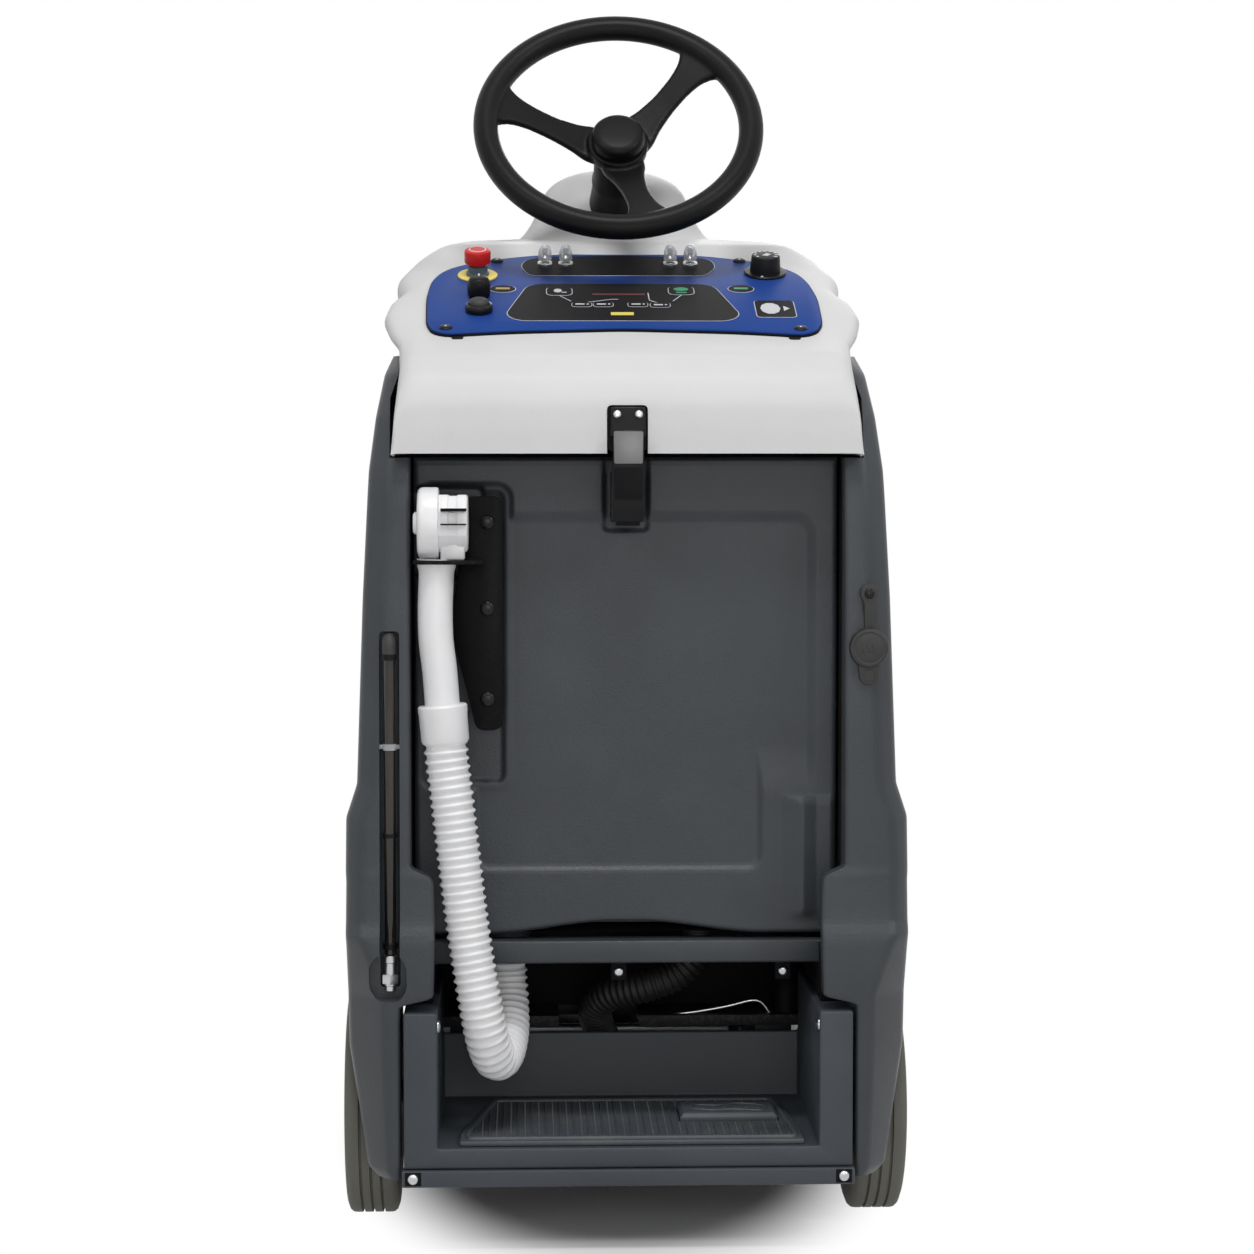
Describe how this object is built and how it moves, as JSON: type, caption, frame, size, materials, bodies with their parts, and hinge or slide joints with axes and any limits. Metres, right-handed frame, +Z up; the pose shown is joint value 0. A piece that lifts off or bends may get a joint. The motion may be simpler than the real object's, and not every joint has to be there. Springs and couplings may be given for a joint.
{
  "type": "stand-on floor cleaning machine",
  "caption": "Stand-on rear-platform floor cleaning machine with steering wheel, control panel, tilting recovery tank, drain hose, brush deck and squeegee.",
  "frame": {"origin": "on the floor, below the centre of the machine's outline", "axes": "+X to the machine's right, +Y forward, away from the operator's platform, +Z up"},
  "size_m": [0.608, 1.22, 1.335],
  "materials": {
    "body_plastic": "fine textured moulding",
    "dash_plastic": "satin moulding",
    "black_plastic": "satin",
    "battery_case": "satin",
    "panel_film": "satin film over a plate",
    "white_plastic": "satin",
    "frame_paint": "powder coat",
    "deck_paint": "powder coat",
    "bright_steel": "satin",
    "rim_paint": "satin",
    "tyre": "matt",
    "black_rubber": "matt",
    "blade_rubber": "matt",
    "red_plastic": "satin",
    "yellow_plastic": "satin",
    "clear_boot": "clear silicone over bright lever",
    "clear_tube": "clear tube with dark liquid",
    "brush_fibre": "fibre",
    "tank_natural": "translucent moulding",
    "squeegee_alloy": "cast"
  },
  "bodies": {
    "chassis": {"chassis_frame": "frame_paint", "foot_tray": "body_plastic", "foot_mat": "black_rubber", "rear_bumper": "body_plastic", "side_cover_left": "body_plastic", "side_cover_right": "body_plastic", "front_body": "body_plastic", "solution_tank": "tank_natural", "dash_cover": "dash_plastic", "control_panel": "panel_film", "cross_beam": "body_plastic", "axle_left": "bright_steel", "axle_right": "bright_steel", "battery_left": "battery_case", "battery_right": "battery_case", "vacuum_motor": "black_plastic", "level_tube": "clear_tube", "level_valve": "bright_steel", "charge_socket": "black_plastic", "steering_column": "frame_paint", "estop_base": "yellow_plastic", "dial_base": "black_plastic", "latch_keeper": "frame_paint", "suction_hose": "black_rubber"},
    "steering": {"steering_wheel": "black_plastic", "hub_cap": "black_plastic", "steering_shaft": "bright_steel"},
    "drive_yoke": {"drive_fork": "frame_paint"},
    "drive_wheel": {"drive_tyre": "tyre", "drive_rim": "rim_paint"},
    "rear_wheel_left": {"tyre_left": "tyre", "rim_left": "rim_paint"},
    "rear_wheel_right": {"tyre_right": "tyre", "rim_right": "rim_paint"},
    "tank": {"recovery_tank": "body_plastic", "hose_bracket": "frame_paint", "drain_neck": "white_plastic", "drain_cuff": "white_plastic", "drain_valve": "white_plastic", "drain_hose": "white_plastic", "latch_base": "black_plastic"},
    "lid": {"tank_lid": "black_plastic"},
    "drain_cap": {"drain_cap": "white_plastic"},
    "latch": {"latch_lever": "black_plastic"},
    "port_cap": {"port_cap": "black_rubber"},
    "estop": {"estop_button": "red_plastic"},
    "selector": {"selector_knob": "black_plastic"},
    "horn": {"horn_button": "black_rubber"},
    "dial": {"speed_dial": "black_plastic"},
    "toggle_1": {"toggle_1": "clear_boot"},
    "toggle_2": {"toggle_2": "clear_boot"},
    "toggle_3": {"toggle_3": "clear_boot"},
    "toggle_4": {"toggle_4": "clear_boot"},
    "pedal": {"presence_pedal": "black_rubber"},
    "deck": {"brush_deck": "deck_paint", "brush_motor": "frame_paint"},
    "brush": {"disc_brush": "brush_fibre"},
    "squeegee": {"squeegee_frame": "squeegee_alloy", "squeegee_blade_front": "blade_rubber", "squeegee_blade_rear": "blade_rubber"}
  },
  "joints": [
    {"name": "steering_turn", "type": "hinge", "parent": "chassis", "child": "steering", "pos_m": [0, -0.25, 1.18], "axis": [0, -0.8039, 0.5948], "range_deg": [-135, 135]},
    {"name": "drive_yoke_turn", "type": "hinge", "parent": "chassis", "child": "drive_yoke", "pos_m": [0, 0.44, 0.3], "axis": [0, 0, 1], "range_deg": [-68, 68]},
    {"name": "drive_wheel_spin", "type": "hinge", "parent": "drive_yoke", "child": "drive_wheel", "pos_m": [0, 0.44, 0.09914], "axis": [1, 0, 0], "continuous": true},
    {"name": "rear_wheel_left_spin", "type": "hinge", "parent": "chassis", "child": "rear_wheel_left", "pos_m": [-0.27, -0.42, 0.12421], "axis": [1, 0, 0], "continuous": true},
    {"name": "rear_wheel_right_spin", "type": "hinge", "parent": "chassis", "child": "rear_wheel_right", "pos_m": [0.27, -0.42, 0.12421], "axis": [1, 0, 0], "continuous": true},
    {"name": "tank_tilt", "type": "hinge", "parent": "chassis", "child": "tank", "pos_m": [0, -0.508, 0.332], "axis": [1, 0, 0], "range_deg": [0, 32]},
    {"name": "tank_lid_open", "type": "hinge", "parent": "tank", "child": "lid", "pos_m": [0, -0.384, 0.8128], "axis": [-1, 0, 0], "range_deg": [0, 55]},
    {"name": "drain_cap_turn", "type": "hinge", "parent": "tank", "child": "drain_cap", "pos_m": [-0.2, -0.5742, 0.76], "axis": [-1, 0, 0], "range_deg": [0, 90]},
    {"name": "latch_lever_open", "type": "hinge", "parent": "tank", "child": "latch", "pos_m": [0, -0.552, 0.768], "axis": [1, 0, 0], "range_deg": [0, 90]},
    {"name": "port_cap_open", "type": "hinge", "parent": "chassis", "child": "port_cap", "pos_m": [0.251, -0.5806, 0.6972], "axis": [-1, 0, 0], "range_deg": [0, 100]},
    {"name": "estop_press", "type": "slide", "parent": "chassis", "child": "estop", "axis": [0, 0.3714, -0.9285], "range_m": [0, 0.005], "stiffness_N_per_m": 900},
    {"name": "selector_turn", "type": "hinge", "parent": "chassis", "child": "selector", "pos_m": [-0.1566, -0.3783, 1.00268], "axis": [0, -0.3714, 0.9285], "range_deg": [-45, 45]},
    {"name": "horn_press", "type": "slide", "parent": "chassis", "child": "horn", "axis": [0, 0.3714, -0.9285], "range_m": [0, 0.003], "stiffness_N_per_m": 900},
    {"name": "speed_dial_turn", "type": "hinge", "parent": "chassis", "child": "dial", "pos_m": [0.1644, -0.30152, 1.03339], "axis": [0, -0.3714, 0.9285], "range_deg": [-135, 135]},
    {"name": "toggle_1_flip", "type": "hinge", "parent": "chassis", "child": "toggle_1", "pos_m": [-0.0834, -0.27459, 1.04416], "axis": [1, 0, 0], "range_deg": [-12, 12]},
    {"name": "toggle_2_flip", "type": "hinge", "parent": "chassis", "child": "toggle_2", "pos_m": [-0.0599, -0.27459, 1.04416], "axis": [1, 0, 0], "range_deg": [-12, 12]},
    {"name": "toggle_3_flip", "type": "hinge", "parent": "chassis", "child": "toggle_3", "pos_m": [0.0586, -0.27459, 1.04416], "axis": [1, 0, 0], "range_deg": [-12, 12]},
    {"name": "toggle_4_flip", "type": "hinge", "parent": "chassis", "child": "toggle_4", "pos_m": [0.0812, -0.27459, 1.04416], "axis": [1, 0, 0], "range_deg": [-12, 12]},
    {"name": "pedal_press", "type": "slide", "parent": "chassis", "child": "pedal", "axis": [0, 0, -1], "range_m": [0, 0.004], "stiffness_N_per_m": 4000},
    {"name": "deck_lower", "type": "slide", "parent": "chassis", "child": "deck", "axis": [0, 0, -1], "range_m": [0, 0.029]},
    {"name": "brush_spin", "type": "hinge", "parent": "deck", "child": "brush", "pos_m": [0, 0.035, 0.1], "axis": [0, 0, 1], "continuous": true},
    {"name": "squeegee_lower", "type": "hinge", "parent": "chassis", "child": "squeegee", "pos_m": [0, -0.15, 0.144], "axis": [1, 0, 0], "range_deg": [0, 6.8]}
  ],
  "couplings": [
    {"joint": "drive_yoke_turn", "follows": "steering_turn", "ratio": 0.5}
  ]
}
